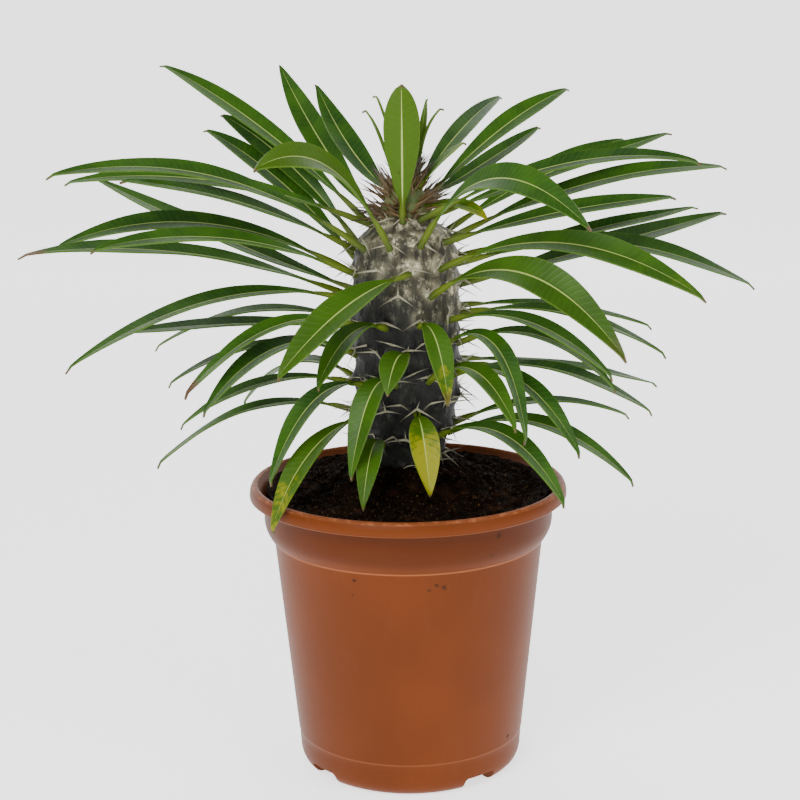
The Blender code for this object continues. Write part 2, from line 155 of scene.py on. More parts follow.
# The stem and the bud as (height, radius) in mm.
STEM_PROFILE = (
    (121, 9),
    (150, 13),
    (166, 15.5),
    (175, 19),
    (190, 24),
    (205, 27),
    (260, 27.5),
    (278, 26.5),
    (286, 24.2),
    (290, 21),
    (294, 16.5),
    (299, 14),
    (304, 12.5),
    (310, 10),
    (316, 6),
    (319, 2),
)
STEM_AROUND = 144
STEM_ROWS = 170
STEM_FOOT = 121 * MM
STEM_TOP = 299 * MM
BUD_TOP = 319 * MM
BUD_AROUND = 48
BUD_ROWS = 22
TUBERCLES = 98
CROWN_PLACES = 16
TUBERCLE_TURN = 33.85
FRONT_TUBERCLE = 75
FRONT_AZIMUTH = 4
TUBERCLE_START = 166.4 * MM
TUBERCLE_RISE = 1.672 * MM
TUBERCLE_CROWDING = 0.003 * MM
TUBERCLE_BULGE = 2.2 * MM
TUBERCLE_WIDTH = 4.8 * MM
TUBERCLE_HEIGHT = 4.4 * MM
LEAF_BELOW_TUBERCLE = 3 * MM
LEAF_SINK = 0.3 * MM
BUD_SEAT_RADIUS = 7 * MM
BUD_SEAT_LOWEST = 303 * MM

# The spines of a tubercle: how far each swings to the side, its lift and its share of a long one.
SPINE_FAN = ((-54, -8, 1), (54, -8, 1), (0, 38, 0.6))
SPINE_SINK = 0.4 * MM
OLD_TUBERCLES = 44
OLD_SWINGS = (-48, 48)
CROWN_SPINE_PLACES = range(TUBERCLES - 7, TUBERCLES + 14)
CROWN_SPINES_EACH = 10

LEAF_ACROSS = 12
LEAF_ALONG = 40
LEAF_THICKNESS = 0.85 * MM
PETIOLE_END = 0.1
PETIOLE_HALF_WIDTH = 1.35 * MM
PETIOLE_ROLL = 160
BLADE_OPEN = 0.19
TIP_HALF_WIDTH = 0.35 * MM
TIP_START = 0.97
TIP_HOOK = 1.8 * MM
RIB_RELIEF = 0.35 * MM
RIB_SPREAD = 0.7 * MM
RIPPLE_LENGTH = 7 * MM
LENGTH_UNIT = 100 * MM
LEAF_FOLD = 15
LEAF_TILT_LOW = 13
LEAF_TILT_HIGH = 27
TILT_CHANGES = (56, 72)
# Leaves turned about their length otherwise than by that tilt, by their tubercle, in degrees.
LEAF_TURNS = {82: 38, 92: 36, 85: 45, 86: -45, 65: -40, 76: -34}
# How far out a blade is widest and how full it is; the upright leaf in front is blunt.
BLADE_FORM = (1.12, 0.85)
BLUNT_FORM = (1.35, 0.6)
BLUNT_LEAF = 96

# One row for each leaf: the tubercle it grows at, its heading, how far out and up of its
# base its middle lies, how far out and up its tip lies, and its full width, in degrees and mm.
LEAVES = (
    (93, -113, 62, 49, 123, 83, 15),
    (82, -122, 45, 42, 91, 68, 14),
    (71, -110, 48, 46, 93, 74, 16),
    (85, -50, 40, 45, 83, 46, 18),
    (92, -146, 56, 38, 103, 82, 15),
    (84, -80, 77, 40, 159, 42, 15),
    (94, -97, 84, 23, 164, 22, 14),
    (83, -66, 60, 27, 123, 42, 13),
    (60, -112, 86, 26, 174, 60, 18),
    (61, -71, 88, 28, 175, 32, 18),
    (72, -84, 78, 28, 154, 17, 16),
    (73, -62, 72, 24, 142, 23, 14),
    (62, -80, 72, 3, 150, -31, 16),
    (50, -112, 64, 3, 128, -22, 12),
    (51, -98, 62, 0, 127, -6, 14),
    (52, -72, 46, 4, 95, -29, 14),
    (40, -105, 54, 1, 108, -23, 12),
    (41, -68, 43, 8, 85, -24, 16),
    (30, -85, 46, 2, 93, -21, 12),
    (29, -130, 45, 4, 89, -26, 13),
    (19, -98, 56, 1, 113, -33, 11),
    (75, -52, 42, -13, 83, -43, 20),
    (53, -50, 24, 0, 46, -25, 15),
    (31, -60, 32, -4, 59, -45, 15),
    (20, -44, 40, -13, 68, -49, 15),
    (43, -20, 17, 1, 31, -14, 15),
    (32, -35, 22, 0, 41, -41, 15),
    (10, -11, 29, 5, 53, -20, 13),
    (22, 12, 15, -8, 31, -36, 16),
    (54, 28, 17, -4, 30, -36, 14),
    (44, 56, 33, 7, 53, -43, 15),
    (33, 42, 34, 11, 64, -15, 14),
    (96, 0, 5, 38, 5, 70, 19),
    (89, 112, 57, 28, 108, 45, 14),
    (98, 98, 66, 22, 128, 41, 13),
    (97, 82, 74, 29, 142, 30, 14),
    (88, 95, 74, 27, 145, 34, 15),
    (87, 88, 58, 15, 118, 23, 14),
    (77, 100, 66, 14, 130, 26, 11),
    (67, 114, 82, 14, 166, 29, 17),
    (86, 42, 52, 38, 115, 19, 17),
    (76, 68, 68, 16, 138, -9, 17),
    (78, 99, 83, 5, 166, -22, 17),
    (65, 52, 58, 17, 116, -20, 20),
    (57, 105, 56, -3, 114, -18, 10),
    (56, 92, 55, -1, 110, -25, 13),
    (55, 66, 45, 2, 90, -24, 14),
    (45, 72, 44, 6, 85, -21, 13),
    (36, 112, 64, -9, 129, -26, 10),
    (35, 95, 54, -4, 105, -29, 13),
    (34, 62, 38, 1, 73, -36, 14),
    (13, 80, 50, 6, 99, -25, 14),
    (12, 60, 42, 8, 78, -26, 15),
    (14, 105, 50, 9, 103, -3, 10),
    (59, 176, 44, 8, 80, -10, 15),
    (38, -168, 42, 4, 76, -22, 14),
)

# The same for the youngest leaves, which are one piece with the bud in CAD.
CROWN_LEAVES = (
    (102, -146, 45, 22, 83, 58, 15),
    (101, 150, 55, 32, 108, 50, 13),
    (99, 120, 50, 37, 95, 58, 14),
    (100, 132, 50, 18, 94, 36, 12),
    (109, 70, 12, 13, 25, 24, 10),
    (98, 70, 22, 2, 38, -5, 9),
    (106, -60, 11, 30, 19, 44, 3),
    (107, -62, 10, 32, 17, 50, 5),
    (110, 60, 4, 24, 14, 40, 3),
    (108, 150, 8, 26, 14, 46, 4),
)

# Leaves that differ from the rest, by their row: how yellow they turn from the tip, how brown
# their tips are and how fresh a green they have.
LEAF_TONES = {
    4: (0, 0, 0.85),
    10: (0, 0.9, 0),
    16: (0, 1, 0),
    22: (0.02, 0, 0.45),
    23: (0, 0, 0.3),
    25: (0.32, 0, 0.6),
    26: (0.03, 0, 0.45),
    27: (0, 0, 0.3),
    28: (0.03, 0, 0.5),
    29: (0.85, 0, 1),
    30: (0.2, 0.6, 0.4),
    32: (0, 0, 0.4),
    33: (0, 0, 1),
    42: (0.05, 0, 0.2),
    44: (0, 0.3, 0.4),
}
CROWN_TONES = {
    5: (0.1, 0, 0.8),
    6: (0.4, 0, 1),
    7: (0, 0, 1),
    8: (0.1, 0, 1),
    9: (0, 0, 1),
    10: (0, 0, 1),
}
TONE_NAMES = ("yellow", "brown_tip", "fresh")

# Colours that the materials mix in, as linear red, green and blue.
# The pale of the pot's thin lines: painted highlight along its creases and edges, partly wear.
PALE_HIGHLIGHT_AND_WEAR = (0.36, 0.115, 0.042)
SHADED_PLASTIC = (0.052, 0.0115, 0.0025)
INNER_PLASTIC = (0.16, 0.05, 0.02)
POT_DUST = (0.15, 0.055, 0.026)
SOIL_STAIN = (0.035, 0.014, 0.007)
SOIL_FIBRE = (0.085, 0.046, 0.022)
RED_SOIL = (0.03, 0.011, 0.006)
# Painted shade for the grooves between the stem's tubercles.
BARK_GROOVE_SHADE = (0.014, 0.014, 0.012)
BARK_CRACK = (0.008, 0.008, 0.006)
BARK_STREAK = (0.016, 0.016, 0.014)
# Painted highlight for the tops of the stem's tubercles.
BARK_HIGHLIGHT = (0.6, 0.57, 0.39)
SPINE_ROOT = (0.31, 0.295, 0.20)
SPINE_TIP = (0.06, 0.05, 0.036)
YOUNG_SPINE_ROOT = (0.15, 0.095, 0.04)
YOUNG_SPINE_TIP = (0.008, 0.004, 0.002)
BUD_GREEN = (0.05, 0.10, 0.008)
BUD_BROWN = (0.12, 0.11, 0.035)
FRESH_UPPER = (0.052, 0.108, 0.0006)
FRESH_UNDER = (0.065, 0.125, 0.006)
LEAF_YELLOW = (0.215, 0.215, 0.0001)
LEAF_EDGE = (0.14, 0.22, 0.02)
RIB_UPPER = (0.38, 0.47, 0.13)
RIB_UNDER = (0.22, 0.27, 0.08)
STALK_GREEN = (0.082, 0.118, 0.005)
STALK_FOOT = (0.035, 0.055, 0.006)
BURNT_TIP = (0.09, 0.045, 0.015)
DRY_TIP = (0.10, 0.07, 0.03)
FLOOR_WHITES = ((0.93, 0.93, 0.93), (0.95, 0.95, 0.95))

# The floor runs back from the front and sweeps up into a wall, in metres.
SWEEP_WIDTH = 12
SWEEP_FRONT = 3
SWEEP_DEPTH = 6.2
SWEEP_HEIGHT = 4
SWEEP_RADIUS = 1.4

# The camera's place, its pitch and roll in degrees, and its lens and sensor in mm.
CAMERA_PLACE = (-3.776 * MM, -900 * MM, 402.76 * MM)
CAMERA_PITCH = 12.673
CAMERA_ROLL = -0.63025
CAMERA_LENS = 78.03
SENSOR_WIDTH = 36

LIGHT_AIM = (0, 0, 0.2)
# The softboxes: name, place, size and share of the key light's power.
SOFTBOXES = (
    ("key", (-0.5, -1.1, 1.1), 0.7, 1),
    ("fill", (0.9, -0.7, 0.8), 0.8, 0.3),
)


def colour_setting(name, description, default):
    """A colour among the settings."""
    return bpy.props.FloatVectorProperty(
        name=name, description=description, default=default, subtype="COLOR", size=3
    )


class PotSettings(bpy.types.PropertyGroup):
    """Size and colour of the pot and its soil."""

    lip_radius: bpy.props.FloatProperty(
        name="Lip radius",
        description="Outer radius of the pot's lip",
        default=LIP_RADIUS,
        unit="LENGTH",
    )
    plastic: colour_setting("Plastic", "Colour of the pot's plastic", (0.121, 0.0275, 0.0048))
    soil: colour_setting("Soil", "Colour of the damp soil", (0.0055, 0.0031, 0.0016))


class PlantSettings(bpy.types.PropertyGroup):
    """Sizes and colours of the plant."""

    spine_length: bpy.props.FloatProperty(
        name="Spine length",
        description="Length of a long spine",
        default=15.5 * MM,
        unit="LENGTH",
    )
    leaf_green: colour_setting("Leaf", "Colour of a leaf's upper face", (0.021, 0.078, 0.003))
    leaf_under: colour_setting("Underside", "Colour of a leaf's lower face", (0.042, 0.1, 0.014))
    bark_light: colour_setting("Young skin", "Colour of the stem near its top", (0.27, 0.25, 0.155))
    bark_dark: colour_setting("Old skin", "Colour of the stem near the soil", (0.016, 0.017, 0.0175))


class StageSettings(bpy.types.PropertyGroup):
    """Light of the stage."""

    white: bpy.props.FloatProperty(
        name="Surround",
        description="Brightness of the white surround",
        default=0.4,
        min=0.0,
        max=4.0,
    )
    floor_glow: bpy.props.FloatProperty(
        name="Floor glow",
        description="Light that the pale floor gives off by itself",
        default=1.55,
        min=0.0,
        max=4.0,
    )
    key_power: bpy.props.FloatProperty(
        name="Key light",
        description="Power of the main softbox in watts",
        default=20.0,
        min=0.0,
        max=500.0,
    )


class Shade:
    """A shader socket that arithmetic works on. Each operation adds a node to the tree."""

    def __init__(self, tree, socket):
        self.tree = tree
        self.socket = socket

    def node(self, kind, inputs=None, output=0, **settings):
        """Adds any node. Inputs are given by name or number, as sockets or as plain values."""
        made = self.tree.nodes.new(kind)
        for name, value in settings.items():
            setattr(made, name, value)
        for name, value in (inputs or {}).items():
            if isinstance(value, Shade):
                self.tree.links.new(value.socket, made.inputs[name])
            else:
                made.inputs[name].default_value = value
        return Shade(self.tree, made.outputs[output])

    def maths(self, operation, *values, clamp=False):
        inputs = dict(enumerate((self, *values)))
        return self.node("ShaderNodeMath", inputs, operation=operation, use_clamp=clamp)

    def __add__(self, other):
        return self.maths("ADD", other)

    def __sub__(self, other):
        return self.maths("SUBTRACT", other)

    def __rsub__(self, other):
        return self.maths("MULTIPLY_ADD", -1, other)

    def __mul__(self, other):
        return self.maths("MULTIPLY", other)

    def __truediv__(self, other):
        return self.maths("DIVIDE", other)

    __radd__ = __add__
    __rmul__ = __mul__

    def ramp(self, low, high, first=0.0, last=1.0):
        """Smoothly from first at low to last at high."""
        inputs = {"Value": self, "From Min": low, "From Max": high, "To Min": first, "To Max": last}
        return self.node("ShaderNodeMapRange", inputs, interpolation_type="SMOOTHSTEP")

    def mix(self, first, last):
        """Mixes two colours, which are inputs 6 and 7, with this socket as the share of the last."""
        inputs = {"Factor": self, 6: first, 7: last}
        return self.node("ShaderNodeMix", inputs, output=2, data_type="RGBA")

    def noise(self, scale, detail=3.0, roughness=0.55):
        inputs = {"Vector": self, "Scale": scale, "Detail": detail, "Roughness": roughness}
        return self.node("ShaderNodeTexNoise", inputs)

    def scaled(self, x, y, z):
        """This vector, stretched by the three factors."""
        return self.node("ShaderNodeVectorMath", {0: self, 1: (x, y, z)}, operation="MULTIPLY")

    def parts(self):
        """The three numbers of a vector."""
        split = self.node("ShaderNodeSeparateXYZ", {0: self})
        return [Shade(self.tree, output) for output in split.socket.node.outputs]

    def bump(self, strength, distance):
        return self.node("ShaderNodeBump", {"Strength": strength, "Distance": distance, "Height": self})


def new_material(name):
    """A material, its Principled node, and a socket with each point's place in metres."""
    material = bpy.data.materials.new(name)
    material.use_nodes = True
    tree = material.node_tree
    shader = tree.nodes["Principled BSDF"]
    place = tree.nodes.new("ShaderNodeTexCoord")
    return material, shader, Shade(tree, place.outputs["Object"])


def connect(shader, name, value):
    if isinstance(value, Shade):
        value.tree.links.new(value.socket, shader.inputs[name])
    else:
        shader.inputs[name].default_value = value


def rgb(colour):
    return (*colour, 1)


def toned(colour, factor):
    """The colour made darker or lighter by a factor."""
    return rgb([channel * factor for channel in colour])


def outward(azimuth):
    angle = math.radians(azimuth)
    return Vector((math.sin(angle), -math.cos(angle), 0))


def at(azimuth, radius, height):
    """The point at this azimuth and height, this far from the axis."""
    return outward(azimuth) * radius + Vector((0, 0, height))


def smooth_step(value, start, end):
    share = min(max((value - start) / (end - start), 0), 1)
    return share * share * (3 - 2 * share)


def between(table, value):
    """Reads a table of pairs, with straight lines between its rows."""
    if value <= table[0][0]:
        return table[0][1]
    for (low, first), (high, last) in zip(table, table[1:]):
        if value <= high:
            return first + (last - first) * (value - low) / (high - low)
    return table[-1][1]


def deselect():
    if bpy.context.mode != "OBJECT":
        bpy.ops.object.mode_set(mode="OBJECT")
    bpy.ops.object.select_all(action="DESELECT")


def new_grid(name, columns, rows, place):
    """A grid whose points are put where place says, from their shares across and along."""
    deselect()
    bpy.ops.mesh.primitive_grid_add(x_subdivisions=columns, y_subdivisions=rows, size=1)
    made = bpy.context.object
    made.name = made.data.name = name
    for vertex in made.data.vertices:
        vertex.co = place(vertex.co.x + 0.5, vertex.co.y + 0.5)
    return made


def close_round(made):
    """Sews a grid that was wrapped round the axis, and turns its faces outward."""
    bpy.ops.object.mode_set(mode="EDIT")
    bpy.ops.mesh.select_all(action="SELECT")
    bpy.ops.mesh.remove_doubles(threshold=0.002 * MM)
    bpy.ops.mesh.normals_make_consistent(inside=False)
    bpy.ops.object.mode_set(mode="OBJECT")
    return made


def apply_modifier(made, kind, **settings):
    deselect()
    made.select_set(True)
    bpy.context.view_layer.objects.active = made
    modifier = made.modifiers.new(kind.lower(), kind)
    for name, value in settings.items():
        setattr(modifier, name, value)
    bpy.ops.object.modifier_apply(modifier=modifier.name)


def finish_piece(made, slot, *materials, nodes=(), smooth=40):
    """Shades a piece, gives it its materials and ties it to the frame."""
    deselect()
    made.select_set(True)
    bpy.context.view_layer.objects.active = made
    bpy.ops.object.shade_smooth_by_angle(angle=math.radians(smooth))
    for material in materials:
        made.data.materials.append(material)
    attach(made, "root")
    if nodes:
        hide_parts(*nodes)


def add_attribute(made, name, values):
    """Stores one number for each vertex, for the materials to read."""
    layer = made.data.attributes.new(name, "FLOAT", "POINT")
    layer.data.foreach_set("value", values)


def read_attribute(shade, name):
    return shade.node("ShaderNodeAttribute", output="Fac", attribute_name=name)


# The pot


def fine_profile():
    """The pot's outline with points at most a few mm apart, in metres."""
    points = []
    for (r0, z0), (r1, z1) in zip(POT_PROFILE, POT_PROFILE[1:]):
        count = max(1, round(math.hypot(r1 - r0, z1 - z0) / PROFILE_STEP))
        for i in range(count):
            share = i / count
            points.append((MM * (r0 + (r1 - r0) * share), MM * (z0 + (z1 - z0) * share)))
    last = POT_PROFILE[-1]
    return points + [(last[0] * MM, last[1] * MM)]


def mark_centre(azimuth, height):
    """A soil mark's centre on the wall or the collar, from its height in mm."""
    if height > COLLAR_STEP / MM:
        return at(azimuth, COLLAR_RADIUS * MM, height * MM)
    foot_radius, foot_height = WALL_FOOT
    return at(azimuth, (foot_radius + (height - foot_height) * WALL_SLOPE) * MM, height * MM)


def highlight_and_wear_line(z, height, core, edge, strength):
    """A thin pale line round the pot, a painted highlight along a crease or edge, at full strength
    within core and gone beyond edge.
    """
    return (z - height).maths("ABSOLUTE").ramp(core, edge, strength, 0)


def pot_material(settings):
    material, shader, place = new_material("terracotta_plastic")
    x, y, z = place.parts()
    broad = place.noise(14, 2)
    fine = place.noise(420, 4)
    colour = broad.ramp(0.35, 0.65).mix(toned(settings.plastic, 0.93), toned(settings.plastic, 1.08))
    # Painted highlights along the collar's step, the lip's fold and the rim's top; the rim's line is
    # broken up by wear.
    collar_line = highlight_and_wear_line(z, COLLAR_STEP, 0.25 * MM, 0.8 * MM, 0.75)
    lip_line = highlight_and_wear_line(z, LIP_FOLD, 0.2 * MM, 0.7 * MM, 0.5)
    worn = place.scaled(1, 1, 3).noise(230, 4).ramp(0.5, 0.66)
    rim_line = highlight_and_wear_line(z, RIM_TOP, 0.4 * MM, 1.3 * MM, 0.7) * (worn * 0.7 + 0.3)
    lines = (collar_line + lip_line + rim_line).maths("MINIMUM", 1)
    colour = lines.mix(colour, rgb(PALE_HIGHLIGHT_AND_WEAR))
    # A fainter painted highlight along the ledge near the foot.
    foot_line = highlight_and_wear_line(z, FOOT_LINE, 0.2 * MM, 0.7 * MM, 0.25)
    colour = foot_line.mix(colour, rgb(PALE_HIGHLIGHT_AND_WEAR))
    specks = place.scaled(1, 1, 0.35).noise(95, 5, 0.65).ramp(0.56, 0.78)
    dust = specks * z.ramp(90 * MM, 157 * MM, 0.12, 0.4)
    colour = dust.mix(colour, rgb(POT_DUST))
    collar = z.ramp(127 * MM, 134 * MM, 0, 0.55) * z.ramp(149.5 * MM, 151 * MM, 1, 0)
    colour = collar.mix(colour, rgb(SHADED_PLASTIC))
    marks = 0
    for azimuth, height, size, strength in POT_MARKS:
        ends = {0: place, 1: mark_centre(azimuth, height)}
        apart = place.node("ShaderNodeVectorMath", ends, output="Value", operation="DISTANCE")
        ragged = apart + (fine - 0.5) * (size * 1.6 * MM)
        marks = ragged.ramp(size * 0.3 * MM, size * 0.75 * MM, strength, 0) + marks
    colour = marks.maths("MINIMUM", 0.9).mix(colour, rgb(SOIL_STAIN))
    from_axis = (x * x + y * y).maths("SQRT")
    inside = z.ramp(149 * MM, 151 * MM) * from_axis.ramp(79.6 * MM, 80.3 * MM, 0.6, 0)
    colour = inside.mix(colour, rgb(INNER_PLASTIC))
    connect(shader, "Base Color", colour)
    connect(shader, "Roughness", fine * 0.12 + broad * 0.08 + dust * 0.25 + marks * 0.3 + 0.36)
    connect(shader, "Normal", (fine + broad * 0.4).bump(0.18, 0.25 * MM))
    connect(shader, "Specular IOR Level", 0.09)
    return material


def cut(made, maker, place, turn):
    """Cuts a tool away from the piece. The tool is made by a primitive operator."""
    deselect()
    maker()
    tool = bpy.context.object
    tool.location = place
    tool.rotation_euler.z = math.radians(turn)
    bpy.context.view_layer.update()
    apply_modifier(made, "BOOLEAN", object=tool, operation="DIFFERENCE", solver="EXACT")
    bpy.data.objects.remove(tool, do_unlink=True)


def notch_tool():
    bpy.ops.mesh.primitive_cube_add(size=1)
    tool = bpy.context.object
    tool.scale = NOTCH_SIZE
    bpy.ops.object.transform_apply(location=False, rotation=False, scale=True)
    apply_modifier(tool, "BEVEL", width=NOTCH_BEVEL, segments=4)


def drain_tool():
    bpy.ops.mesh.primitive_cylinder_add(vertices=32, radius=DRAIN_RADIUS, depth=8 * MM)


class BuildPot(bpy.types.Operator):
    """Turns the pot from its profile and cuts its foot notches and drain holes"""

    bl_idname = "palm.build_pot"
    bl_label = "Build the pot"

    def execute(self, context):
        settings = context.scene.palm_pot
        profile = fine_profile()
        scale = settings.lip_radius / LIP_RADIUS

        def place(across, along):
            radius, height = profile[round(along * (len(profile) - 1))]
            return at(360 * across, radius * scale, height)

        pot = close_round(new_grid("plastic_pot", POT_AROUND, len(profile) - 1, place))
        for azimuth in NOTCH_AZIMUTHS:
            cut(pot, notch_tool, at(azimuth, NOTCH_RADIUS, 0), azimuth)
        for azimuth in NOTCH_AZIMUTHS:
            azimuth += DRAIN_TURN
            cut(pot, drain_tool, at(azimuth, DRAIN_RING, POT_FLOOR), azimuth)
        finish_piece(pot, "pot_plastic", pot_material(settings), nodes=("pot",), smooth=30)
        return {"FINISHED"}


# The soil


def soil_surface(radius, azimuth):
    """The mound round the stem, with low lumps made of a few waves."""
    mound = 1 - smooth_step(radius, 14 * MM, 62 * MM)
    level = SOIL_RIM_HEIGHT + (SOIL_MOUND_HEIGHT - SOIL_RIM_HEIGHT) * mound
    x = radius * math.sin(math.radians(azimuth)) / MM
    y = radius * math.cos(math.radians(azimuth)) / MM
    lumps = math.sin(0.31 * x + 0.4) * math.sin(0.27 * y + 1.1) + 0.6 * math.sin(0.55 * x - 0.47 * y)
    fade = smooth_step(radius, 17 * MM, 26 * MM) * (1 - smooth_step(radius, 66 * MM, 74 * MM))
    return level + SOIL_ROUGHNESS * lumps * fade


def rough_soil(radius, azimuth):
    """The surface with its finer crumbs."""
    spot = outward(azimuth) * radius
    fade = smooth_step(radius, 16 * MM, 20 * MM)
    crumbs = noise.fractal(spot * 190, 0.8, 2.1, 5) + noise.noise(spot * 900) * 0.5
    return soil_surface(radius, azimuth) + crumbs * MM * fade


def soil_material(settings):
    material, shader, place = new_material("potting_soil")
    clumps = place.noise(260, 6, 0.7)
    fibres = place.scaled(1, 0.22, 1).noise(900, 3)
    colour = clumps.ramp(0.35, 0.62).mix(toned(settings.soil, 0.45), toned(settings.soil, 1.5))
    colour = (fibres.ramp(0.58, 0.7) * 0.75).mix(colour, rgb(SOIL_FIBRE))
    red = place.noise(70, 2).ramp(0.55, 0.7) * 0.5
    colour = red.mix(colour, rgb(RED_SOIL))
    connect(shader, "Base Color", colour)
    connect(shader, "Roughness", clumps.ramp(0.3, 0.7, 0.95, 0.75))
    connect(shader, "Specular IOR Level", 0.02)
    connect(shader, "Normal", (clumps + fibres * 0.5).bump(0.9, 1.2 * MM))
    return material


def add_copy(maker, template, matrix):
    """Adds a moved copy of a template mesh to a mesh in the making."""
    first = len(maker.verts)
    maker.from_mesh(template)
    maker.verts.ensure_lookup_table()
    for vertex in maker.verts[first:]:
        vertex.co = matrix @ vertex.co


def object_from(maker, name):
    mesh = bpy.data.meshes.new(name)
    maker.to_mesh(mesh)
    maker.free()
    made = bpy.data.objects.new(name, mesh)
    bpy.context.scene.collection.objects.link(made)
    return made


def crumb_template():
    deselect()
    bpy.ops.mesh.primitive_ico_sphere_add(subdivisions=1, radius=1)
    return bpy.context.object


def fibre_template():
    """A thin bent root fibre, one unit long."""
    deselect()
    bpy.ops.mesh.primitive_cylinder_add(vertices=4, radius=0.035, depth=1, rotation=(0, math.pi / 2, 0))
    made = bpy.context.object
    bpy.ops.object.transform_apply()
    bpy.ops.object.mode_set(mode="EDIT")
    bpy.ops.mesh.select_all(action="SELECT")
    bpy.ops.mesh.subdivide(number_cuts=5)
    bpy.ops.object.mode_set(mode="OBJECT")
    for vertex in made.data.vertices:
        vertex.co.y += 0.12 * math.sin(2.6 * vertex.co.x + 0.5)
        vertex.co.z += 0.07 * math.cos(5 * vertex.co.x)
    return made


class BuildSoil(bpy.types.Operator):
    """Builds the mounded soil with its crumbs and fibres"""

    bl_idname = "palm.build_soil"
    bl_label = "Build the soil"

    def execute(self, context):
        material = soil_material(context.scene.palm_pot)
        self.build_mound(material)
        self.build_litter(material)
        return {"FINISHED"}

    def build_mound(self, material):
        rows = len(SOIL_SIDE) + SOIL_RINGS + len(SOIL_HOLLOW) - 1

        def place(across, along):
            row = round(along * rows)
            azimuth = 360 * across
            if row < len(SOIL_SIDE):
                radius, height = SOIL_SIDE[row]
                return at(azimuth, radius * MM, height * MM)
            row -= len(SOIL_SIDE)
            if row < SOIL_RINGS:
                radius = (SOIL_EDGE - (SOIL_EDGE - SOIL_MIDDLE) * row / (SOIL_RINGS - 1)) * MM
                return at(azimuth, radius, rough_soil(radius, azimuth))
            radius, height = SOIL_HOLLOW[row - SOIL_RINGS]
            return at(azimuth, radius * MM, height * MM)

        soil = close_round(new_grid("soil_mound", SOIL_AROUND, rows, place))
        bpy.ops.object.mode_set(mode="EDIT")
        bpy.ops.mesh.select_all(action="DESELECT")
        bpy.ops.mesh.select_non_manifold(extend=False)
        bpy.ops.mesh.edge_face_add()
        bpy.ops.mesh.select_all(action="SELECT")
        bpy.ops.mesh.normals_make_consistent(inside=False)
        bpy.ops.object.mode_set(mode="OBJECT")
        finish_piece(soil, "potting_soil", material, nodes=("soil",))

    def build_litter(self, material):
        """Two crumbs for each fibre, scattered over the mound."""
        draw = random.Random(SEED + 1)
        crumb = crumb_template()
        fibre = fibre_template()
        maker = bmesh.new()
        inner, width = LITTER_RING
        for i in range(LITTER_COUNT):
            radius = (inner + width * math.sqrt(draw.random())) * MM
            azimuth = draw.uniform(0, 360)
            spot = at(azimuth, radius, rough_soil(radius, azimuth))
            turn = Matrix.Rotation(draw.uniform(0, 6.28), 4, "Z")
            if i % 3:
                size = draw.uniform(*CRUMB_SIZES)
                scale = Matrix.Diagonal((size * draw.uniform(0.7, 1.6), size, size * 0.6, 1))
                add_copy(maker, crumb.data, Matrix.Translation(spot) @ turn @ scale)
            else:
                scale = Matrix.Scale(draw.uniform(*FIBRE_SIZES), 4)
                tilt = Matrix.Rotation(draw.uniform(-0.3, 0.3), 4, "Y")
                move = Matrix.Translation(spot + Vector((0, 0, FIBRE_LIFT)))
                add_copy(maker, fibre.data, move @ turn @ tilt @ scale)
        bpy.data.objects.remove(crumb, do_unlink=True)
        bpy.data.objects.remove(fibre, do_unlink=True)
        litter = object_from(maker, "soil_litter")
        finish_piece(litter, "potting_soil", material, smooth=60)


# The stem


def tubercle_place(number):
    """Azimuth and height of a tubercle on its spiral."""
    height = TUBERCLE_START + TUBERCLE_RISE * number - TUBERCLE_CROWDING * number * number
    azimuth = FRONT_AZIMUTH + TUBERCLE_TURN * (number - FRONT_TUBERCLE)
    return (azimuth + 180) % 360 - 180, height


PLACES = [tubercle_place(number) for number in range(TUBERCLES + CROWN_PLACES)]


def stem_radius(height):
    return between(STEM_PROFILE, height / MM) * MM


def stem_bulge(azimuth, height):
    """How much of a tubercle stands here, and how near its centre this is."""
    radius = stem_radius(height)
    bulge = 0
    centre = 0
    for place, level in PLACES[:TUBERCLES]:
        up = (height - level) / TUBERCLE_HEIGHT
        if abs(up) > 2.2:
            continue
        aside = (azimuth - place + 180) % 360 - 180
        across = math.radians(aside) * radius / TUBERCLE_WIDTH
        if abs(across) > 2.6:
            continue
        share = math.exp(-up * up - across * across)
        bulge += share
        centre = max(centre, share)
    return bulge, centre


def stem_surface(azimuth, height):
    fade = smooth_step(height, 166 * MM, 176 * MM) * (1 - smooth_step(height, 293 * MM, STEM_TOP))
    return stem_radius(height) + TUBERCLE_BULGE * stem_bulge(azimuth, height)[0] * fade


